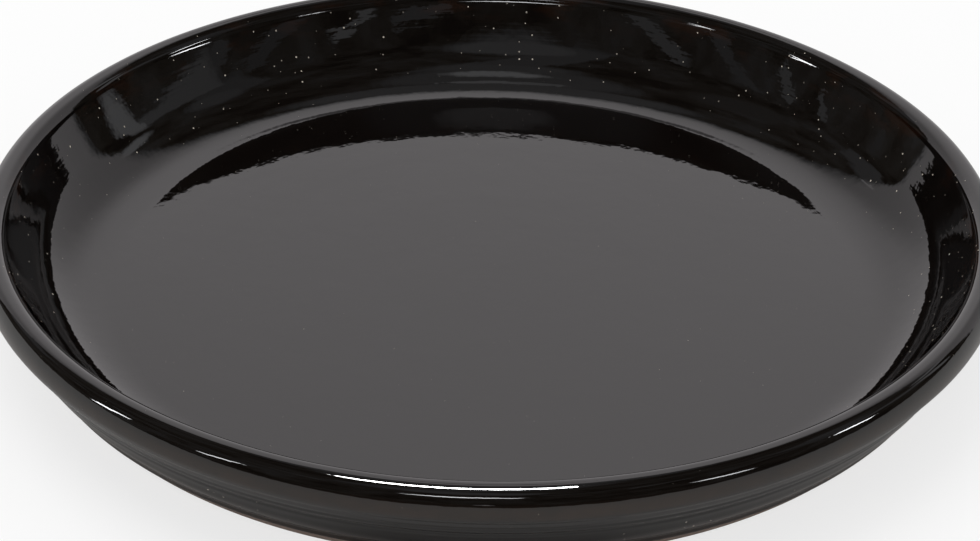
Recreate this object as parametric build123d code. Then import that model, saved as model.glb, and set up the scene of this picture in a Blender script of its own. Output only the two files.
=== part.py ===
from build123d import *
import math
import os

# Plant saucer in stoneware, thrown on a wheel and covered with a gloss glaze.
# Sizes are in millimetres, and slopes and turns are in degrees. The saucer stands on z = 0 and is
# round about the Z axis. It is two solids: the fired clay body, and the coat of glaze that lies on
# it. The sizes of the inside, the lip and the outer wall are those of the glazed surface.

# Overall
saucer_radius = 175.0
saucer_height = 39.0

# Foot, which is bare clay: a flat ring round a shallow recess
foot_ring_width = 13.0
foot_edge_chamfer = 1.4
foot_recess_depth = 0.8

# Inside of the dish: flat floor, cove, and a straight wall up to the lip
floor_thickness = 4.6
cove_radius = 30.0
inside_slope = 63.0

# Rolled lip: an arc on the inside of the crest, a tighter one over the crest, a straight flank, an
# upright edge at the widest place, and an underside that slopes in to a crease
lip_inner_round = 5.4
lip_crest_round = 3.9
lip_flank_length = 4.8
lip_flank_slope = 73.6
lip_edge_height = 1.5
lip_underside_drop = 2.85
lip_underside_slope = 59.0

# Outer wall: straight from the crease to the line where the glaze ends, with a groove round it at a
# share of the way down
outside_slope = 57.0
glaze_line_height = 5.2
groove_share = 0.345
groove_width = 2.4

# Glaze. The clay under the cove and the lip was trimmed in flats, so the glaze is thinner over the
# corners between them. It is thinner in the groove too, by a share of its thickness
glaze_thickness = 0.8
glaze_on_lip = 1.1
glaze_edge_chamfer = 0.5
groove_depth_share = 0.6
cove_flat_count = 2
lip_flat_count = 1

# Places that follow from these sizes. The flank touches the arc over the crest
flank_angle = math.radians(lip_flank_slope)
flank_down = Vector(math.cos(flank_angle), -math.sin(flank_angle))
flank_outward = Vector(math.sin(flank_angle), math.cos(flank_angle))
crest_to_edge = flank_outward * lip_crest_round + flank_down * lip_flank_length
crest_radius = saucer_radius - crest_to_edge.X
crest_height = saucer_height - lip_crest_round
edge_top = Vector(saucer_radius, crest_height + crest_to_edge.Y)
edge_foot = Vector(saucer_radius, edge_top.Y - lip_edge_height)
underside_run = lip_underside_drop / math.tan(math.radians(lip_underside_slope))
crease = edge_foot - Vector(underside_run, lip_underside_drop)

# The inside wall touches the cove and the lip's inner arc
floor_height = foot_recess_depth + floor_thickness
inside_angle = math.radians(inside_slope)
cove_height = floor_height + cove_radius
lip_inner_height = saucer_height - lip_inner_round
lean = (lip_inner_height - cove_height) * math.cos(inside_angle)
floor_radius = crest_radius - (lean + cove_radius + lip_inner_round) / math.sin(inside_angle)


def section_arc(off_axis, height, radius, start, turn):
    """An arc of the section. Its centre is this far off the axis and at this height."""
    return (Vector(off_axis, height), radius, start, turn)


# The arcs of the glazed surface, one after another from the floor to the flank
quarter_turn = 90
wall_turn = quarter_turn + inside_slope
cove = section_arc(floor_radius, cove_height, cove_radius, -quarter_turn, inside_slope)
lip_inner = section_arc(crest_radius, lip_inner_height, lip_inner_round, wall_turn, -inside_slope)
lip_crest = section_arc(crest_radius, crest_height, lip_crest_round, quarter_turn, -lip_flank_slope)

# The outer wall: its two directions, its ends, and its groove
outside_angle = math.radians(outside_slope)
wall_down = Vector(-math.cos(outside_angle), -math.sin(outside_angle))
wall_inward = Vector(-math.sin(outside_angle), math.cos(outside_angle))
wall_length = (crease.Y - glaze_line_height) / math.sin(outside_angle)
glaze_line = crease + wall_down * wall_length
groove = crease + wall_down * (wall_length * groove_share)
groove_floor = groove + wall_inward * (glaze_thickness * groove_depth_share)
half_groove = wall_down * (groove_width / 2)


def flats(arc, skin, count):
    """Corners of the flats that touch an arc from skin under the glazed surface. Over a hollow arc
    skin is added to its radius, so it is given as less than zero."""
    centre, radius, start, turn = arc
    step = turn / count
    reach = (radius - skin) / math.cos(math.radians(step / 2))
    corners = []
    for number in range(count):
        angle = math.radians(start + step * (number + 1 / 2))
        corners.append(centre + Vector(math.cos(angle), math.sin(angle)) * reach)
    return corners


def glazed_section():
    """Everything inside the glazed surface, down to the line where the glaze ends."""
    floor_line = Line((0, floor_height), (floor_radius, floor_height))
    cove_line = CenterArc(*cove)
    inner_line = CenterArc(*lip_inner)
    crest_line = CenterArc(*lip_crest)
    inside_wall = Line(cove_line @ 1, inner_line @ 0)
    lip = [crest_line @ 1, edge_top, edge_foot, crease]
    outer_wall = [groove - half_groove, groove_floor, groove + half_groove, glaze_line]
    middle_of_floor = floor_height - floor_thickness / 2
    back = [(floor_radius, middle_of_floor), (0, middle_of_floor), (0, floor_height)]
    outside = Polyline(*lip, *outer_wall, *back)
    lines = [floor_line, cove_line, inside_wall, inner_line, crest_line, outside]
    return Plane.XZ * make_face(Curve() + lines)


def clay_section():
    """The clay under the glaze, and the bare foot with its recess."""
    corners = [(0, floor_height - glaze_thickness)]
    corners += flats(cove, -glaze_thickness, cove_flat_count)
    corners += flats(lip_inner, glaze_on_lip, lip_flat_count)
    corners += flats(lip_crest, glaze_on_lip, lip_flat_count)
    corners.append((edge_top + edge_foot) / 2 - Vector(glaze_on_lip, 0))
    clay_line = glaze_line + wall_inward * glaze_thickness
    foot_radius = clay_line.X - clay_line.Y / math.tan(outside_angle)
    foot_corner = Vector(foot_radius, 0)
    corners += [crease + wall_inward * glaze_thickness, foot_corner]
    ring_radius = foot_radius - foot_ring_width
    recess_radius = ring_radius - foot_recess_depth
    corners += [(ring_radius, 0), (recess_radius, foot_recess_depth), (0, foot_recess_depth)]
    face = make_face(Polyline(*corners, close=True))
    return Plane.XZ * chamfer(face.vertices().sort_by_distance(foot_corner)[0], foot_edge_chamfer)


def coat_section(clay_face):
    """What lies between the glazed surface and the clay, with a chamfered lower edge."""
    coat_face = glazed_section() - clay_face
    lower_edge = Vector(glaze_line.X, 0, glaze_line.Y)
    return chamfer(coat_face.vertices().sort_by_distance(lower_edge)[0], glaze_edge_chamfer)


clay_face = clay_section()
coat_face = coat_section(clay_face)
clay_body = revolve(clay_face, Axis.Z)
glaze_coat = revolve(coat_face, Axis.Z)

os.makedirs("parts", exist_ok=True)
export_step(clay_body, "parts/clay_body.step")
export_step(glaze_coat, "parts/glaze_coat.step")
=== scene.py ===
import math

import bpy
from mathutils import Matrix, Vector


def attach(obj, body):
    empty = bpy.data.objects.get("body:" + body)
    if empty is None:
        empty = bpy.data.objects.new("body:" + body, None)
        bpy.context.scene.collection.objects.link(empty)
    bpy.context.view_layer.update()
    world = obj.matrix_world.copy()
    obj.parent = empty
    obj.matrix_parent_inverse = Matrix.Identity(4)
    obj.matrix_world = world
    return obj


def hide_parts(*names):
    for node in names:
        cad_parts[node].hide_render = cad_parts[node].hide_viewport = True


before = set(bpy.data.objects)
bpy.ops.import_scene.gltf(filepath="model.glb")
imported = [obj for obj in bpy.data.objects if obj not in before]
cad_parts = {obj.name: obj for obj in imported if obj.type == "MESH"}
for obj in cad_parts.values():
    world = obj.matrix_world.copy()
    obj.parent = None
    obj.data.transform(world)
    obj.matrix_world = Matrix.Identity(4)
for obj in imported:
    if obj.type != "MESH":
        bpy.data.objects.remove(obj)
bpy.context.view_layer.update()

# ---------------------------------------------------------------- sizes
# Sizes are in millimetres, as in the saucer's construction, and MM turns them into metres. Slopes
# and turns are in degrees. The section runs from the middle of the floor over the cove, the wall
# and the rolled lip, and down the outside to the line where the glaze ends.
MM = 0.001

# Inside. The wall grows steeper up to the lip, and has its slope at each of these heights
FLOOR_HEIGHT = 5.4
COVE_ROUND = 30
WALL_SLOPES = [(20.4, 60), (31, 63), (34.6, 64), (35.5, 73)]
WALL_STEPS = 26

# Rolled lip: rounds inside, over the crest, down the flank and under the edge. The crest's round
# passes into the flank's at FLANK_TURN, and the one under the edge ends in the crease
CREST_RADIUS = 169.9
CREST_HEIGHT = 39
INNER_ROUND = 4.95
CREST_ROUND = 3.9
FLANK_ROUND = 11.85
FLANK_TURN = 31.9
RIM_RADIUS = 175
WIDEST_HEIGHT = 30.9
UNDER_ROUND = 4.8
UNDER_TURN = 50

# Outer wall. Each throwing line has its distance down from the crease, its half width, and how far
# it stands proud of the wall, which is less than zero for a groove
OUTER_SLOPE = 57
OUTER_STEPS = 46
THROWING_LINES = [
    (4.7, 0.8, -0.17),
    (6.7, 0.9, 0.1),
    (9.1, 1.1, -0.32),
    (17.4, 3.4, 0.3),
    (22.3, 1.1, -0.16),
]

# Glaze. It ends in a roll that swells above the line and curls in under itself
GLAZE_LINE = 5.2
GLAZE_THICKNESS = 0.8
SWELL_ABOVE_LINE = 1.3
SWELL_HALF_WIDTH = 1.1
SWELL_HEIGHT = 0.3
ROLL_LENGTH = 0.9
ROLL_HEIGHT = 1.05
ROLL_STEPS = 6
SUNK_IN_CLAY = 0.05
INNER_FACE_DEPTH = 0.12

# Clay under the glaze, trimmed in flats: corners over the lip and over the cove
LIP_CLAY = [(173.6, 31.2), (171.9, 35.4), (169.8, 37.8), (166.4, 36.7)]
COVE_CLAY = [(159.5, 20.4), (152.4, 10.6), (143.4, 6.1), (131, 4.6)]

# Bare foot ring round a shallow recess, with one corner on the flat of the ring
FOOT_ROUND = 1.3
FOOT_ROUND_INSET = 1.4845
RING_WIDTH = 13
RING_FLAT_CORNER = 4
RING_INNER_ROUND = 0.6
RECESS_DEPTH = 0.8
RECESS_ROUND = 0.85
RECESS_ROUND_INSET = 0.35

# Fine rings that the rib left on the floor and the trimming tool in the recess. Each has its height
# and the length over which its wave turns by one radian, and they fade out towards the middle
FLOOR_RINGS = [(0.006, 2.9), (0.009, 7.3)]
FLOOR_RINGS_FADE = 20
FLOOR_STEP = 2.2
RECESS_RINGS = [(0.05, 0.92), (0.03, 2.6)]
RECESS_RINGS_FADE = 15
RECESS_STEP = 1.45
RECESS_RINGS_INSET = 2
SHORTEST_STEP = 1

# Steps round the axis
GLAZE_TURN_STEPS = 320
CLAY_TURN_STEPS = 240

# ---------------------------------------------------------------- the section
OUTER = math.radians(OUTER_SLOPE)
DOWN_WALL = Vector((-math.cos(OUTER), -math.sin(OUTER)))
OUT_OF_WALL = Vector((math.sin(OUTER), -math.cos(OUTER)))


def arc(centre, radius, start, end, count):
    """Points of the section along an arc, its two ends among them."""
    points = []
    for number in range(count + 1):
        angle = math.radians(start + (end - start) * number / count)
        points.append(Vector(centre) + radius * Vector((math.cos(angle), math.sin(angle))))
    return points


def swelling(place, middle, half_width, height):
    """A soft ridge across a line, or a groove where height is less than zero."""
    return height * math.exp(-(((place - middle) / half_width) ** 2))


def fine_rings(radius, rings, fade):
    """How high fine rings stand at this radius."""
    stand = sum(height * math.sin(radius / length) for height, length in rings)
    return stand * min(1, radius / fade)


def wall_slope(height):
    """The slope of the inside wall at this height."""
    for (low, low_slope), (high, high_slope) in zip(WALL_SLOPES, WALL_SLOPES[1:]):
        if height <= high:
            return low_slope + (high_slope - low_slope) * max(0, height - low) / (high - low)
    return high_slope


def inside_points():
    """The inside from the middle of the floor over the cove, the wall and the lip's inner round to
    the crest. The wall is drawn from its top down, and the cove and the floor start at its foot."""
    foot_slope, lip_slope = WALL_SLOPES[0][1], WALL_SLOPES[-1][1]
    inner_centre = (CREST_RADIUS, CREST_HEIGHT - INNER_ROUND)
    inner = arc(inner_centre, INNER_ROUND, start=90 + lip_slope, end=90, count=14)
    wall_foot = FLOOR_HEIGHT + COVE_ROUND * (1 - math.cos(math.radians(foot_slope)))
    rise = (inner[0].y - wall_foot) / WALL_STEPS
    wall = [inner[0]]
    for _ in range(WALL_STEPS):
        slope = math.radians(wall_slope(wall[0].y - rise / 2))
        wall.insert(0, wall[0] - Vector((rise / math.tan(slope), rise)))
    floor_radius = wall[0].x - COVE_ROUND * math.sin(math.radians(foot_slope))
    cove_centre = (floor_radius, FLOOR_HEIGHT + COVE_ROUND)
    cove = arc(cove_centre, COVE_ROUND, start=-90, end=foot_slope - 90, count=30)
    floor = []
    radius = 0
    while radius < floor_radius - SHORTEST_STEP:
        ring = fine_rings(radius, FLOOR_RINGS, FLOOR_RINGS_FADE)
        floor.append(Vector((radius, FLOOR_HEIGHT + ring)))
        radius += FLOOR_STEP
    return floor + cove + wall[1:-1] + inner


def lip_points():
    """The lip from the crest down to the crease under it."""
    crest_centre = (CREST_RADIUS, CREST_HEIGHT - CREST_ROUND)
    crest = arc(crest_centre, CREST_ROUND, start=90, end=FLANK_TURN, count=12)
    flank_centre = (RIM_RADIUS - FLANK_ROUND, WIDEST_HEIGHT)
    flank = arc(flank_centre, FLANK_ROUND, start=FLANK_TURN, end=0, count=10)
    under_centre = (RIM_RADIUS - UNDER_ROUND, WIDEST_HEIGHT)
    under = arc(under_centre, UNDER_ROUND, start=0, end=-UNDER_TURN, count=10)
    return crest[1:] + flank[1:] + under[1:]


# Places that follow from the sizes
lip = lip_points()
crease = lip[-1]
shoulder = crease - GLAZE_THICKNESS * OUT_OF_WALL
wall_length = (crease.y - GLAZE_LINE) / math.sin(OUTER)
glaze_end = crease + wall_length * DOWN_WALL
clay_end = glaze_end - GLAZE_THICKNESS * OUT_OF_WALL
foot_corner = Vector((clay_end.x - clay_end.y / math.tan(OUTER), 0))
ring_inside = foot_corner.x - RING_WIDTH
recess_edge = ring_inside - RECESS_DEPTH


def outer_points():
    """The outer wall, from the crease down to the roll in which the glaze ends."""
    points = []
    for number in range(1, OUTER_STEPS - 1):
        down = wall_length * number / OUTER_STEPS
        proud = sum(swelling(down, *line) for line in THROWING_LINES)
        proud += swelling(down, wall_length - SWELL_ABOVE_LINE, SWELL_HALF_WIDTH, SWELL_HEIGHT)
        points.append(crease + down * DOWN_WALL + proud * OUT_OF_WALL)
    for number in range(1, ROLL_STEPS + 1):
        angle = math.radians(90 * number / ROLL_STEPS)
        along = ROLL_LENGTH * (math.sin(angle) - 1)
        proud = ROLL_HEIGHT * math.cos(angle) - GLAZE_THICKNESS - SUNK_IN_CLAY
        points.append(glaze_end + along * DOWN_WALL + proud * OUT_OF_WALL)
    return points


def glaze_inner_face():
    """The glaze's own face behind the outer wall, a little inside the clay."""
    inwards = -INNER_FACE_DEPTH * OUT_OF_WALL
    return [clay_end + inwards, clay_end.lerp(shoulder, 0.5) + inwards]


def clay_under_glaze():
    """The clay's surface under the glaze, from the foot of the wall over the lip to the axis."""
    axis_end = (0, FLOOR_HEIGHT - GLAZE_THICKNESS)
    return [shoulder] + [Vector(corner) for corner in LIP_CLAY + COVE_CLAY + [axis_end]]


def clay_foot():
    """The bare clay, from the end of the glaze round the foot ring to the middle of the recess."""
    points = [clay_end.lerp(foot_corner, share) for share in (0.2, 0.4, 0.6, 0.8)]
    foot_centre = (foot_corner.x - FOOT_ROUND_INSET, FOOT_ROUND)
    points += arc(foot_centre, FOOT_ROUND, start=OUTER_SLOPE - 90, end=-90, count=6)
    points.append(Vector((ring_inside + RING_FLAT_CORNER, 0)))
    ring_centre = (ring_inside + RING_INNER_ROUND, RING_INNER_ROUND)
    points += arc(ring_centre, RING_INNER_ROUND, start=-90, end=-135, count=3)
    recess_centre = (recess_edge - RECESS_ROUND_INSET, RECESS_DEPTH - RECESS_ROUND)
    points += arc(recess_centre, RECESS_ROUND, start=45, end=90, count=4)
    radius = recess_edge - RECESS_RINGS_INSET
    while radius > SHORTEST_STEP:
        ring = fine_rings(radius, RECESS_RINGS, RECESS_RINGS_FADE)
        points.append(Vector((radius, RECESS_DEPTH + ring)))
        radius -= RECESS_STEP
    return points + [Vector((0, RECESS_DEPTH))]


# ---------------------------------------------------------------- turning a section
def draw_section(name, corners):
    """Draws a section in the XZ plane: one corner, extruded along all the others in turn."""
    bpy.ops.object.select_all(action="DESELECT")
    bpy.ops.mesh.primitive_plane_add(size=MM, location=(0, 0, 0))
    piece = bpy.context.object
    piece.name = piece.data.name = name
    bpy.ops.object.mode_set(mode="EDIT")
    bpy.ops.mesh.select_all(action="SELECT")
    bpy.ops.mesh.merge(type="CENTER")
    start = corners[0] * MM
    bpy.ops.transform.translate(value=(start.x, 0, start.y))
    for here, there in zip(corners, corners[1:]):
        step = (there - here) * MM
        bpy.ops.mesh.extrude_region_move(TRANSFORM_OT_translate={"value": (step.x, 0, step.y)})
    return piece


def turn_on_wheel(piece, steps):
    """Spins a section once round the axis, closes the seam and both ends, and smooths it."""
    bpy.ops.mesh.select_all(action="SELECT")
    bpy.ops.mesh.spin(steps=steps, angle=math.tau, center=(0, 0, 0), axis=(0, 0, 1))
    bpy.ops.mesh.select_all(action="SELECT")
    bpy.ops.mesh.remove_doubles(threshold=0.01 * MM)
    bpy.ops.mesh.normals_make_consistent(inside=False)
    bpy.ops.object.mode_set(mode="OBJECT")
    bpy.ops.object.shade_smooth()


def make_uneven(piece, size, height):
    """Moves the surface in and out in soft waves of this size."""
    waves = bpy.data.textures.new(piece.name + "_waves", "CLOUDS")
    waves.noise_scale = size * MM
    waves.noise_depth = 0
    modifier = piece.modifiers.new("waves", "DISPLACE")
    modifier.texture = waves
    modifier.texture_coords = "LOCAL"
    modifier.strength = height * MM
    bpy.ops.object.modifier_apply(modifier=modifier.name)


# ---------------------------------------------------------------- materials
def linear(colour):
    """An sRGB hex colour in the linear values that a shader takes."""
    parts = [int(colour[place:place + 2], 16) / 255 for place in (0, 2, 4)]
    parts = [part / 12.92 if part <= 0.04045 else ((part + 0.055) / 1.055) ** 2.4 for part in parts]
    return (*parts, 1)


def add(tree, kind, settings=None, **links):
    """Adds a node, gives it its settings, and links what comes into its sockets. A setting or a
    link is named after its socket. A socket that shares its name with another goes by its number,
    and as a link it is then in0, in1 and so on. A Mix node's two colours are sockets 6 and 7."""
    node = tree.nodes.new(kind)
    for name, value in (settings or {}).items():
        if isinstance(name, int) or name in node.inputs:
            node.inputs[name].default_value = value
        else:
            setattr(node, name, value)
    for name, source in links.items():
        numbered = name.startswith("in") and name[2:].isdigit()
        socket = node.inputs[int(name[2:]) if numbered else name.replace("_", " ")]
        tree.links.new(source, socket)
    return node.outputs


def new_material(name):
    """A material with an empty node tree."""
    material = bpy.data.materials.new(name)
    material.use_nodes = True
    material.node_tree.nodes.clear()
    return material, material.node_tree


# Gloss glaze, black with iron, as dipped and fired on stoneware. It melts to a deep, even mirror,
# so the eye sees the room in it, bent by throwing lines and a faint ripple. Where it ran thin over
# an edge it breaks to brown. A few pinholes are painted pale: partly the clay that shows in them,
# partly painted glints.
def make_glaze():
    ripple_size, swell_size = 3 * MM, 12 * MM
    throwing_pitch, throwing_drift = 3.4 * MM, 2.2
    pinhole_spacing, pinhole_radius = 2.6 * MM, 0.4 * MM
    patch_size, streak_size = 9 * MM, 21 * MM

    material, tree = new_material("black_iron_gloss_glaze")
    place = add(tree, "ShaderNodeTexCoord")["Object"]
    split = add(tree, "ShaderNodeSeparateXYZ", Vector=place)
    flat = add(tree, "ShaderNodeVectorMath", {"operation": "MULTIPLY", 1: (1, 1, 0)}, in0=place)[0]
    radius = add(tree, "ShaderNodeVectorMath", {"operation": "LENGTH"}, in0=flat)["Value"]

    # Relief, in millimetres: a ripple, a wider swell, and lines that run round with the wheel and
    # drift a little on the way
    ripple = add(tree, "ShaderNodeTexNoise", {"Scale": 1 / ripple_size, "Detail": 1.5},
                 Vector=place)[0]
    swell = add(tree, "ShaderNodeTexNoise", {"Scale": 1 / swell_size, "Detail": 1}, Vector=place)[0]
    turned = add(tree, "ShaderNodeVectorMath", {"operation": "NORMALIZE"}, in0=flat)[0]
    turned = add(tree, "ShaderNodeVectorMath", {"operation": "SCALE", "Scale": throwing_drift},
                 in0=turned)[0]
    along = add(tree, "ShaderNodeMath", {"operation": "ADD"}, in0=radius, in1=split["Z"])[0]
    along = add(tree, "ShaderNodeMath", {"operation": "DIVIDE", 1: throwing_pitch}, in0=along)[0]
    along = add(tree, "ShaderNodeCombineXYZ", Z=along)[0]
    turned = add(tree, "ShaderNodeVectorMath", {"operation": "ADD"}, in0=turned, in1=along)[0]
    throwing = add(tree, "ShaderNodeTexNoise", {"Scale": 1, "Detail": 2}, Vector=turned)[0]
    height = add(tree, "ShaderNodeMath", {"operation": "MULTIPLY", 1: 0.022}, in0=ripple)[0]
    height = add(tree, "ShaderNodeMath", {"operation": "MULTIPLY_ADD", 1: 0.075},
                 in0=swell, in2=height)[0]
    height = add(tree, "ShaderNodeMath", {"operation": "MULTIPLY_ADD", 1: 0.022},
                 in0=throwing, in2=height)[0]
    bump = add(tree, "ShaderNodeBump", {"Distance": MM}, Height=height)[0]

    # Pinholes of unlike sizes and strengths, fewer on the floor and on the lip than on the walls.
    # Their pale colour is partly the clay showing through and partly painted glint
    on_wall = add(tree, "ShaderNodeMapRange",
                  {"From Min": 7 * MM, "From Max": 12 * MM, "To Min": 0.3, "To Max": 1},
                  in0=split["Z"])[0]
    off_lip = add(tree, "ShaderNodeMapRange",
                  {"From Min": 166 * MM, "From Max": 168 * MM, "To Min": 1, "To Max": 0.25},
                  in0=radius)[0]
    on_wall = add(tree, "ShaderNodeMath", {"operation": "MULTIPLY"}, in0=on_wall, in1=off_lip)[0]
    cells = add(tree, "ShaderNodeTexVoronoi", {"Scale": 1 / pinhole_spacing}, Vector=place)
    chances = add(tree, "ShaderNodeSeparateColor", Color=cells["Color"])
    size = add(tree, "ShaderNodeMapRange",
               {"interpolation_type": "SMOOTHSTEP", "From Min": 0.35, "From Max": 1.05,
                "To Min": 0.01, "To Max": pinhole_radius / pinhole_spacing},
               in0=chances["Red"])[0]
    size = add(tree, "ShaderNodeMath", {"operation": "MULTIPLY"}, in0=size, in1=on_wall)[0]
    pinhole_and_glint = add(tree, "ShaderNodeMath", {"operation": "DIVIDE"},
                  in0=cells["Distance"], in1=size)[0]
    pinhole_and_glint = add(tree, "ShaderNodeMapRange",
                  {"interpolation_type": "SMOOTHSTEP", "From Min": 1.1, "From Max": 0.7},
                  in0=pinhole_and_glint)[0]
    # How strongly each pinhole shows: its pale colour, which is partly painted glint, and its
    # roughness
    pinhole_glint_strength = add(tree, "ShaderNodeMapRange",
               {"From Min": 0.1, "From Max": 0.95, "To Min": 0.12, "To Max": 1},
               in0=chances["Green"])[0]
    pinhole_and_glint = add(tree, "ShaderNodeMath", {"operation": "MULTIPLY"}, in0=pinhole_and_glint, in1=pinhole_glint_strength)[0]

    # Brown in patches where the glaze is thin: over the rim, and above the line where it ends
    patchy = add(tree, "ShaderNodeTexNoise", {"Scale": 1 / patch_size, "Detail": 4},
                 Vector=place)[0]
    over_rim = add(tree, "ShaderNodeMapRange",
                   {"interpolation_type": "SMOOTHSTEP", "From Min": 174.2 * MM,
                    "From Max": 175.2 * MM}, in0=radius)[0]
    low = add(tree, "ShaderNodeMapRange",
              {"interpolation_type": "SMOOTHSTEP", "From Min": 13 * MM, "From Max": 5 * MM},
              in0=split["Z"])[0]
    outside = add(tree, "ShaderNodeMapRange", {"From Min": 152 * MM, "From Max": 154 * MM},
                  in0=radius)[0]
    low = add(tree, "ShaderNodeMath", {"operation": "MULTIPLY"}, in0=low, in1=outside)[0]
    thin = add(tree, "ShaderNodeMath", {"operation": "MAXIMUM"}, in0=over_rim, in1=low)[0]
    thin = add(tree, "ShaderNodeMath", {"operation": "MULTIPLY"}, in0=thin, in1=patchy)[0]
    colour = add(tree, "ShaderNodeMix",
                 {"data_type": "RGBA", 6: linear("0a0706"), 7: linear("2b1d12")}, in0=thin)[2]

    # Faint brown streaks inside, under the lip, where the glaze ran down while it melted
    high = add(tree, "ShaderNodeMapRange",
               {"interpolation_type": "SMOOTHSTEP", "From Min": 26 * MM, "From Max": 35 * MM},
               in0=split["Z"])[0]
    streaks = add(tree, "ShaderNodeVectorMath", {"operation": "MULTIPLY", 1: (1, 1, 3.5)},
                  in0=place)[0]
    streaks = add(tree, "ShaderNodeTexNoise", {"Scale": 1 / streak_size, "Detail": 3},
                  Vector=streaks)[0]
    streaks = add(tree, "ShaderNodeMapRange",
                  {"interpolation_type": "SMOOTHSTEP", "From Min": 0.5, "From Max": 0.66},
                  in0=streaks)[0]
    streaks = add(tree, "ShaderNodeMath", {"operation": "MULTIPLY"}, in0=streaks, in1=high)[0]
    inside = add(tree, "ShaderNodeMapRange", {"From Min": 168 * MM, "From Max": 166 * MM},
                 in0=radius)[0]
    streaks = add(tree, "ShaderNodeMath", {"operation": "MULTIPLY"}, in0=streaks, in1=inside)[0]
    colour = add(tree, "ShaderNodeMix", {"data_type": "RGBA", 7: linear("1a0d07")},
                 in0=streaks, in6=colour)[2]

    # Pinholes painted pale: partly the clay that shows through, partly painted glints
    colour = add(tree, "ShaderNodeMix", {"data_type": "RGBA", 7: linear("cfc5b6")},
                 in0=pinhole_and_glint, in6=colour)[2]
    rough = add(tree, "ShaderNodeMapRange",
                {"From Min": 0.35, "From Max": 0.75, "To Min": 0.02, "To Max": 0.035},
                in0=patchy)[0]
    rough = add(tree, "ShaderNodeMath", {"operation": "MULTIPLY_ADD", 1: 0.5},
                in0=pinhole_and_glint, in2=rough)[0]
    shader = add(tree, "ShaderNodeBsdfPrincipled", {"IOR": 1.58},
                 Base_Color=colour, Roughness=rough, Normal=bump)[0]
    add(tree, "ShaderNodeOutputMaterial", Surface=shader)
    return material


# Stoneware clay, thrown, trimmed and fired bare. It is matt and grey-brown, toasted in patches,
# with iron specks and fine grog that stands out of the surface, and the trimming tool's fine rings.
def make_clay():
    toast_size, grog_size, speck_spacing, ring_pitch = 38 * MM, 0.9 * MM, 3.1 * MM, 0.55 * MM

    material, tree = new_material("bare_stoneware_clay")
    place = add(tree, "ShaderNodeTexCoord")["Object"]
    flat = add(tree, "ShaderNodeVectorMath", {"operation": "MULTIPLY", 1: (1, 1, 0)}, in0=place)[0]
    radius = add(tree, "ShaderNodeVectorMath", {"operation": "LENGTH"}, in0=flat)["Value"]
    toast = add(tree, "ShaderNodeTexNoise", {"Scale": 1 / toast_size, "Detail": 3}, Vector=place)[0]
    grog = add(tree, "ShaderNodeTexNoise", {"Scale": 1 / grog_size, "Detail": 4}, Vector=place)[0]
    colour = add(tree, "ShaderNodeMix",
                 {"data_type": "RGBA", 6: linear("74605a"), 7: linear("a59689")}, in0=toast)[2]
    mottle = add(tree, "ShaderNodeMapRange",
                 {"From Min": 0.3, "From Max": 0.7, "To Min": 0.85, "To Max": 1.1}, in0=grog)[0]
    colour = add(tree, "ShaderNodeVectorMath", {"operation": "SCALE"}, in0=colour, Scale=mottle)[0]
    cells = add(tree, "ShaderNodeTexVoronoi", {"Scale": 1 / speck_spacing}, Vector=place)
    speck = add(tree, "ShaderNodeMapRange",
                {"From Min": 0.08, "From Max": 0.13, "To Min": 0.85, "To Max": 0},
                in0=cells["Distance"])[0]
    colour = add(tree, "ShaderNodeMix", {"data_type": "RGBA", 7: linear("2e211b")},
                 in0=speck, in6=colour)[2]

    # Relief, in millimetres
    rings = add(tree, "ShaderNodeMath", {"operation": "DIVIDE", 1: ring_pitch / math.tau},
                in0=radius)[0]
    rings = add(tree, "ShaderNodeMath", {"operation": "SINE"}, in0=rings)[0]
    height = add(tree, "ShaderNodeMath", {"operation": "MULTIPLY", 1: 0.012}, in0=rings)[0]
    height = add(tree, "ShaderNodeMath", {"operation": "MULTIPLY_ADD", 1: 0.12},
                 in0=grog, in2=height)[0]
    bump = add(tree, "ShaderNodeBump", {"Distance": MM}, Height=height)[0]
    shader = add(tree, "ShaderNodeBsdfPrincipled", {"Roughness": 0.85, "IOR": 1.5},
                 Base_Color=colour, Normal=bump)[0]
    add(tree, "ShaderNodeOutputMaterial", Surface=shader)
    return material


# ---------------------------------------------------------------- the pieces
glaze_corners = inside_points() + lip + outer_points() + glaze_inner_face() + clay_under_glaze()
glaze = draw_section("gloss_glaze_coat", glaze_corners)
turn_on_wheel(glaze, GLAZE_TURN_STEPS)
make_uneven(glaze, size=34, height=0.09)
make_uneven(glaze, size=11, height=0.02)
glaze.data.materials.append(make_glaze())
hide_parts("glaze_coat")
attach(glaze, "root")

clay_corners = clay_under_glaze()[::-1] + [clay_end] + clay_foot()
clay = draw_section("stoneware_body", clay_corners)
turn_on_wheel(clay, CLAY_TURN_STEPS)
make_uneven(clay, size=21, height=0.05)
clay.data.materials.append(make_clay())
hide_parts("clay_body")
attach(clay, "root")

# ---------------------------------------------------------------- floor
bpy.ops.object.select_all(action="DESELECT")
bpy.ops.mesh.primitive_plane_add(size=24, location=(0, 0, -0.15 * MM))
floor = bpy.context.object
floor.name = "white_sheet"
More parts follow.
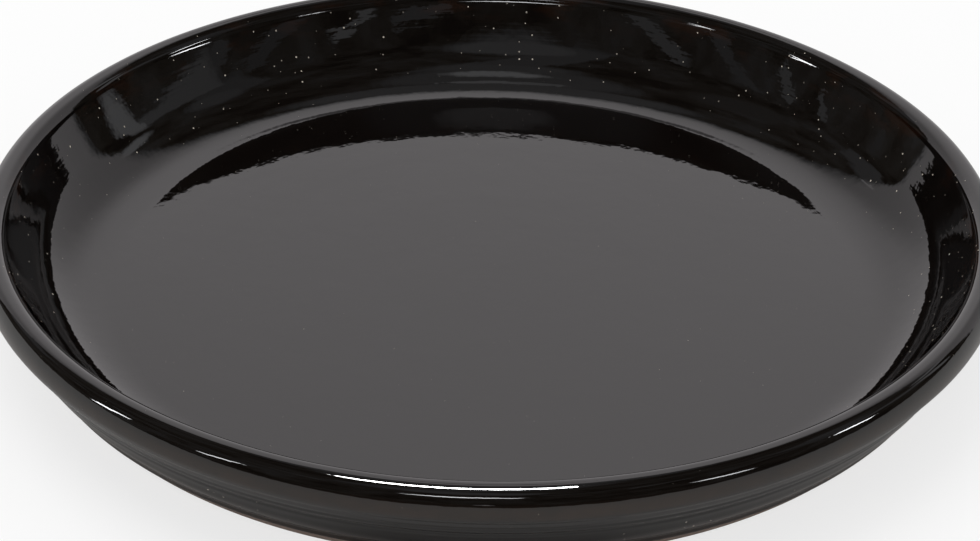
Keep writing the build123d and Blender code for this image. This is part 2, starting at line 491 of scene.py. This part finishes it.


# A wide sheet of white card under the saucer. Seen from below it lets the eye through, and where
# the saucer covers it, it lets light up to the foot for that view. Where the glaze mirrors the card
# it has painted shade: it is painted a little darker, painted dark beyond a front edge, and painted
# darker close under the saucer.
def make_sheet():
    material, tree = new_material("white_card")
    place = add(tree, "ShaderNodeTexCoord")["Object"]
    split = add(tree, "ShaderNodeSeparateXYZ", Vector=place)
    flat = add(tree, "ShaderNodeVectorMath", {"operation": "MULTIPLY", 1: (1, 1, 0)}, in0=place)[0]
    radius = add(tree, "ShaderNodeVectorMath", {"operation": "LENGTH"}, in0=flat)["Value"]
    path = add(tree, "ShaderNodeLightPath")
    glossy = path["Is Glossy Ray"]
    # Painted shade: only as the glaze mirrors it, the card is a little darker
    colour = add(tree, "ShaderNodeMix",
                 {"data_type": "RGBA", 6: linear("f7f7f7"), 7: linear("cecdcc")}, in0=glossy)[2]

    # Painted shade: as the glaze mirrors it, the card turns dark from 440 to 500 mm in front, so a
    # front edge shows
    painted_dark_beyond = add(tree, "ShaderNodeMapRange",
                 {"interpolation_type": "SMOOTHSTEP", "From Min": -440 * MM,
                  "From Max": -500 * MM}, in0=split["Y"])[0]
    painted_dark_beyond = add(tree, "ShaderNodeMath", {"operation": "MULTIPLY"}, in0=painted_dark_beyond, in1=glossy)[0]
    colour = add(tree, "ShaderNodeMix", {"data_type": "RGBA", 7: linear("3c3a38")},
                 in0=painted_dark_beyond, in6=colour)[2]

    # Painted shade close under the saucer, strongest in front of its middle, seen only as the glaze
    # mirrors the card
    shade = add(tree, "ShaderNodeMapRange",
                {"interpolation_type": "SMOOTHSTEP", "From Min": 167 * MM, "From Max": 162 * MM,
                 "To Min": 0, "To Max": 0.5}, in0=radius)[0]
    middle = add(tree, "ShaderNodeMath", {"operation": "ABSOLUTE"}, in0=split["X"])[0]
    middle = add(tree, "ShaderNodeMapRange",
                 {"interpolation_type": "SMOOTHSTEP", "From Min": 65 * MM, "From Max": 20 * MM},
                 in0=middle)[0]
    shade = add(tree, "ShaderNodeMath", {"operation": "MULTIPLY"}, in0=shade, in1=middle)[0]
    shade = add(tree, "ShaderNodeMath", {"operation": "MULTIPLY"}, in0=shade, in1=glossy)[0]
    colour = add(tree, "ShaderNodeMix", {"data_type": "RGBA", 7: linear("14110f")},
                 in0=shade, in6=colour)[2]

    card = add(tree, "ShaderNodeBsdfDiffuse", Color=colour)[0]
    white = add(tree, "ShaderNodeEmission", {"Strength": 1})[0]
    seen = add(tree, "ShaderNodeMath", {"operation": "MULTIPLY", 1: 0.72},
               in0=path["Is Camera Ray"])[0]
    card = add(tree, "ShaderNodeMixShader", in0=seen, in1=card, in2=white)[0]
    clear = add(tree, "ShaderNodeBsdfTransparent")[0]
    below = add(tree, "ShaderNodeNewGeometry")["Backfacing"]
    covered = add(tree, "ShaderNodeMath", {"operation": "LESS_THAN", 1: 152 * MM}, in0=radius)[0]
    open_for = add(tree, "ShaderNodeMath", {"operation": "MAXIMUM"}, in0=below, in1=covered)[0]
    shader = add(tree, "ShaderNodeMixShader", in0=open_for, in1=card, in2=clear)[0]
    add(tree, "ShaderNodeOutputMaterial", Surface=shader)
    return material


floor.data.materials.append(make_sheet())

# ---------------------------------------------------------------- light
# The room as the glaze mirrors it. Azimuth is 0 behind the saucer and grows to the right. Each
# light or pale place is an ellipse with a soft edge: its azimuth, height, half width, half height
# and turn in degrees, its strength, and the share of its size over which its edge is soft.
ROOM_LIGHTS = [
    (-174, 43, 15, 11, 0, 0.30, 0.6),
    (-175, 75, 13, 8, 0, 0.23, 0.7),
    (-100, 88, 16, 16, 0, 0.21, 0.5),
    (0, 71, 18, 8, 0, 0.24, 0.6),
    (-14, 80, 5, 3, 0, 0.45, 0.5),
    (6, 80, 4, 3, 0, 0.55, 0.5),
    (-58, 28, 5, 7, 0, 0.20, 0.6),
    (-52, 32, 2.5, 1.2, 50, 0.9, 0.5),
    (-90, 50, 10, 14, 0, 0.11, 0.8),
    (93, 38, 8, 8, 0, 0.22, 0.8),
    (74, 17, 3.5, 9, 10, 0.6, 0.6),
    (-176, 85, 7, 5, 0, 0.8, 0.8),
    (64, 31, 7, 3.5, 0, 0.7, 0.8),
    (-98.7, 6.6, 5.6, 1, 39, 25, 0.4),
    (-125.9, 10.3, 5.6, 0.9, 32, 14, 0.4),
    (132, 10.6, 6.3, 0.9, -18, 14, 0.4),
    (100.6, 12.4, 5.4, 1, -22, 25, 0.4),
    (-175.2, 21.8, 11, 1, 5, 14, 0.4),
]
# The grey patches of the room are rectangles, in the same columns without the last. Their edges are
# soft between these shares of their half sizes.
ROOM_PATCHES = [
    (89, 22.3, 13.5, 4.3, -5, 0.29),
    (106.6, 20.4, 2.8, 1.8, 28, 0.17),
    (122, 24.1, 10.7, 1.5, 11, 0.14),
    (142.6, 27.1, 5.9, 0.8, 12, 0.4),
    (161, 28.3, 7, 1, 5, 0.19),
    (100.8, 33.5, 8.3, 9, 1, 0.18),
    (-136.7, 26.7, 8.9, 1.2, -13, 0.26),
    (-115, 24.2, 10.8, 1.2, -16, 0.17),
    (-87.5, 17.9, 2.7, 0.8, -27, 0.28),
    (-63.8, 26, 5.3, 6.5, -68, 0.2),
    (-99.4, 20.6, 3.7, 1, -24, 0.29),
    (-164.5, 60, 5.6, 26, -25, 0.2),
]
PATCH_EDGE_START, PATCH_EDGE_END = 0.8, 1.3
# The backdrop stands upright, and is measured across and up in its distance from the saucer. This
# is its top edge, from left to right, which is soft over a band to both sides. The curve that
# holds the edge reaches up to BACKDROP_LIMIT.
BACKDROP_TOP = [
    (-1.5, 0.35), (-1.33, 1.12), (-1.19, 1.28), (-0.97, 1.44), (-0.73, 1.55), (-0.5, 1.83),
    (-0.15, 1.92), (0, 1.96), (0.3, 1.91), (0.62, 1.75), (0.97, 1.63), (1.3, 1.48), (1.73, 1.25),
    (1.9, 0.78),
]
BACKDROP_LIMIT = 2
TOP_EDGE_BAND = 0.33
# The even light that matt surfaces get from all round
MATT_LIGHT = 0.8


def measure_of(azimuth, height, half_width, half_height, turn):
    """The settings of a Mapping node that gives directions in the measure of one light or patch:
    1 is at its half width and at its half height."""
    facing = Matrix.Rotation(math.radians(-azimuth), 3, "Z")
    facing = facing @ Matrix.Rotation(math.radians(height), 3, "X")
    facing = facing @ Matrix.Rotation(math.radians(turn), 3, "Y")
    return {
        "vector_type": "TEXTURE",
        "Location": facing @ Vector((0, 1, 0)),
        "Rotation": facing.to_euler("XYZ"),
        "Scale": (math.radians(half_width), 1, math.radians(half_height)),
    }


def make_room():
    """The world. The camera sees plain white, matt surfaces get an even light from all round, and
    the glaze mirrors a dark room with a white backdrop behind the saucer."""
    world = bpy.data.worlds.new("studio")
    world.use_nodes = True
    tree = world.node_tree
    tree.nodes.clear()
    way = add(tree, "ShaderNodeTexCoord")["Generated"]
    split = add(tree, "ShaderNodeSeparateXYZ", Vector=way)

    # Where a direction meets the backdrop, and whether that is under its top edge and between its
    # sides. The top edge is a curve over the share of the way from left to right
    behind = add(tree, "ShaderNodeMath", {"operation": "MAXIMUM", 1: 0.02}, in0=split["Y"])[0]
    across = add(tree, "ShaderNodeMath", {"operation": "DIVIDE"}, in0=split["X"], in1=behind)[0]
    up = add(tree, "ShaderNodeMath", {"operation": "DIVIDE"}, in0=split["Z"], in1=behind)[0]
    left_end, right_end = BACKDROP_TOP[0][0], BACKDROP_TOP[-1][0]
    share = add(tree, "ShaderNodeMapRange", {"From Min": left_end, "From Max": right_end},
                in0=across)[0]
    top = add(tree, "ShaderNodeFloatCurve", Value=share)[0]
    spots = [((place - left_end) / (right_end - left_end), height / BACKDROP_LIMIT)
             for place, height in BACKDROP_TOP]
    mapping = top.node.mapping
    mapping.curves[0].points[0].location = spots[0]
    mapping.curves[0].points[-1].location = spots[-1]
    for spot in spots[1:-1]:
        mapping.curves[0].points.new(*spot)
    mapping.update()
    over = add(tree, "ShaderNodeMath", {"operation": "MULTIPLY_ADD", 1: -BACKDROP_LIMIT},
               in0=top, in2=up)[0]
    mask = add(tree, "ShaderNodeMapRange",
               {"interpolation_type": "SMOOTHSTEP", "From Min": TOP_EDGE_BAND,
                "From Max": -TOP_EDGE_BAND}, in0=over)[0]
    left = add(tree, "ShaderNodeMapRange",
               {"interpolation_type": "SMOOTHSTEP", "From Min": -1.54, "From Max": -1.42},
               in0=across)[0]
    right = add(tree, "ShaderNodeMapRange",
                {"interpolation_type": "SMOOTHSTEP", "From Min": 2.05, "From Max": 1.75},
                in0=across)[0]
    mask = add(tree, "ShaderNodeMath", {"operation": "MULTIPLY"}, in0=mask, in1=left)[0]
    mask = add(tree, "ShaderNodeMath", {"operation": "MULTIPLY"}, in0=mask, in1=right)[0]

    # Its light: strongest in the middle, with a glow high up and one dark place
    off_middle = add(tree, "ShaderNodeMath", {"operation": "ADD", 1: 0.1}, in0=across)[0]
    off_middle = add(tree, "ShaderNodeMath", {"operation": "ABSOLUTE"}, in0=off_middle)[0]
    level = add(tree, "ShaderNodeMapRange",
                {"interpolation_type": "SMOOTHSTEP", "From Min": 0.3, "From Max": 0.85,
                 "To Min": 0.92, "To Max": 0.62}, in0=off_middle)[0]
    on_backdrop = add(tree, "ShaderNodeCombineXYZ", X=across, Y=up)[0]
    far = add(tree, "ShaderNodeMapping",
              {"vector_type": "TEXTURE", "Location": (0.15, 1.4, 0), "Scale": (0.9, 1, 1)},
              Vector=on_backdrop)[0]
    far = add(tree, "ShaderNodeVectorMath", {"operation": "LENGTH"}, in0=far)["Value"]
    glow = add(tree, "ShaderNodeMapRange",
               {"interpolation_type": "SMOOTHSTEP", "From Min": 0.2, "From Max": 1,
                "To Min": 0.36, "To Max": 0}, in0=far)[0]
    level = add(tree, "ShaderNodeMath", {"operation": "ADD"}, in0=level, in1=glow)[0]
    far = add(tree, "ShaderNodeMapping",
              {"vector_type": "TEXTURE", "Location": (0, 1.03, 0), "Scale": (0.1, 0.13, 1)},
              Vector=on_backdrop)[0]
    far = add(tree, "ShaderNodeVectorMath", {"operation": "LENGTH"}, in0=far)["Value"]
    shade = add(tree, "ShaderNodeMapRange",
                {"interpolation_type": "SMOOTHSTEP", "From Min": 0.6, "From Max": 1.15,
                 "To Min": 0.25, "To Max": 1}, in0=far)[0]
    level = add(tree, "ShaderNodeMath", {"operation": "MULTIPLY"}, in0=level, in1=shade)[0]

    # The dark room round it, a little lighter at the left, and blotched by what stands in it
    dark = add(tree, "ShaderNodeMapRange",
               {"From Min": -1, "From Max": 1, "To Min": 0.062, "To Max": 0.05},
               in0=split["X"])[0]
    clutter = add(tree, "ShaderNodeTexNoise", {"Scale": 5, "Detail": 5, "Roughness": 0.6},
                  Vector=way)[0]
    clutter = add(tree, "ShaderNodeMapRange",
                  {"From Min": 0.38, "From Max": 0.66, "To Min": 0.35, "To Max": 2.2},
                  in0=clutter)[0]
    dark = add(tree, "ShaderNodeMath", {"operation": "MULTIPLY"}, in0=dark, in1=clutter)[0]
    room = add(tree, "ShaderNodeMix", in0=mask, in2=dark, in3=level)[0]
    for *shape, strength in ROOM_PATCHES:
        far = add(tree, "ShaderNodeMapping", measure_of(*shape), Vector=way)[0]
        far = add(tree, "ShaderNodeVectorMath", {"operation": "ABSOLUTE"}, in0=far)[0]
        sides = add(tree, "ShaderNodeSeparateXYZ", in0=far)
        far = add(tree, "ShaderNodeMath", {"operation": "MAXIMUM"},
                  in0=sides["X"], in1=sides["Z"])[0]
        far = add(tree, "ShaderNodeMath", {"operation": "MAXIMUM"}, in0=far, in1=sides["Y"])[0]
        patch = add(tree, "ShaderNodeMapRange",
                    {"interpolation_type": "SMOOTHSTEP", "From Min": PATCH_EDGE_END,
                     "From Max": PATCH_EDGE_START, "To Min": 0, "To Max": strength}, in0=far)[0]
        room = add(tree, "ShaderNodeMath", {"operation": "MAXIMUM"}, in0=room, in1=patch)[0]
    for *shape, strength, softness in ROOM_LIGHTS:
        far = add(tree, "ShaderNodeMapping", measure_of(*shape), Vector=way)[0]
        far = add(tree, "ShaderNodeVectorMath", {"operation": "LENGTH"}, in0=far)["Value"]
        light = add(tree, "ShaderNodeMapRange",
                    {"interpolation_type": "SMOOTHSTEP", "From Min": 1 + softness / 2,
                     "From Max": 1 - softness / 2, "To Min": 0, "To Max": strength}, in0=far)[0]
        room = add(tree, "ShaderNodeMath", {"operation": "MAXIMUM"}, in0=room, in1=light)[0]

    # What each kind of ray meets. For the glaze the dark room is warm, its grey patches and the
    # backdrop are nearly neutral
    path = add(tree, "ShaderNodeLightPath")
    glossy = path["Is Glossy Ray"]
    lit = add(tree, "ShaderNodeMix", {2: MATT_LIGHT}, in0=glossy, in3=room)[0]
    seen = add(tree, "ShaderNodeMath", {"operation": "MAXIMUM"},
               in0=path["Is Camera Ray"], in1=path["Is Transmission Ray"])[0]
    strength = add(tree, "ShaderNodeMix", {3: 1.0}, in0=seen, in2=lit)[0]
    grey = add(tree, "ShaderNodeMapRange", {"From Min": 0.03, "From Max": 0.14}, in0=room)[0]
    cast = add(tree, "ShaderNodeMix",
               {"data_type": "RGBA", 6: (1.15, 1, 0.78, 1), 7: (0.99, 1, 1.03, 1)}, in0=grey)[2]
    cast = add(tree, "ShaderNodeMix", {"data_type": "RGBA", 7: (1.03, 0.99, 1.01, 1)},
               in0=mask, in6=cast)[2]
    cast = add(tree, "ShaderNodeMix", {"data_type": "RGBA", 6: (1, 1, 1, 1)},
               in0=glossy, in7=cast)[2]
    shader = add(tree, "ShaderNodeBackground", Color=cast, Strength=strength)[0]
    add(tree, "ShaderNodeOutputWorld", Surface=shader)
    bpy.context.scene.world = world
    world.cycles.sampling_method = "NONE"


make_room()

# One wide soft lamp, above and behind at the left, gives matt surfaces their direction. The glaze
# doesn't mirror it.
SOFTBOX_PLACE = Vector((-0.9, 0.7, 3.2))
softbox_data = bpy.data.lights.new("softbox", "AREA")
softbox_data.shape = "SQUARE"
softbox_data.size = 2.4
softbox_data.energy = 30
softbox = bpy.data.objects.new("softbox", softbox_data)
bpy.context.collection.objects.link(softbox)
softbox.location = SOFTBOX_PLACE
softbox.rotation_euler = (-SOFTBOX_PLACE).to_track_quat("-Z", "Y").to_euler()
softbox.visible_glossy = False
softbox.visible_camera = False

# A long lamp with a grid, over the front of the saucer. The grid keeps its light from the back, so
# it draws one thin line along the front of the lip and nothing in the cove behind.
strip_data = bpy.data.lights.new("grid_strip", "AREA")
strip_data.shape = "RECTANGLE"
strip_data.size = 0.36
strip_data.size_y = 0.08
strip_data.energy = 2.2
strip_data.spread = math.radians(52)
strip = bpy.data.objects.new("grid_strip", strip_data)
bpy.context.collection.objects.link(strip)
strip.location = (-0.048, -0.216, 0.64)
strip.rotation_euler = (math.radians(-4), 0, math.radians(10.9))
strip.visible_camera = False
strip.visible_diffuse = False

# ---------------------------------------------------------------- camera
# The photograph's angle: it looks down at the saucer, and is turned a little.
EYE = Vector((0.13, -751.2, 461.12)) * MM
LOOKS_DOWN = 31.101
CAMERA_TURN = 1.094
camera_data = bpy.data.cameras.new("camera")
camera_data.lens = 91.837
camera_data.sensor_width = 36
camera_data.sensor_fit = "HORIZONTAL"
camera_data.clip_start = 0.01
camera = bpy.data.objects.new("camera", camera_data)
bpy.context.collection.objects.link(camera)
tilt = Matrix.Rotation(math.radians(90 - LOOKS_DOWN), 4, "X")
turn = Matrix.Rotation(math.radians(CAMERA_TURN), 4, "Z")
camera.matrix_world = Matrix.Translation(EYE) @ tilt @ turn
bpy.context.scene.camera = camera
bpy.context.scene.view_settings.view_transform = "Standard"
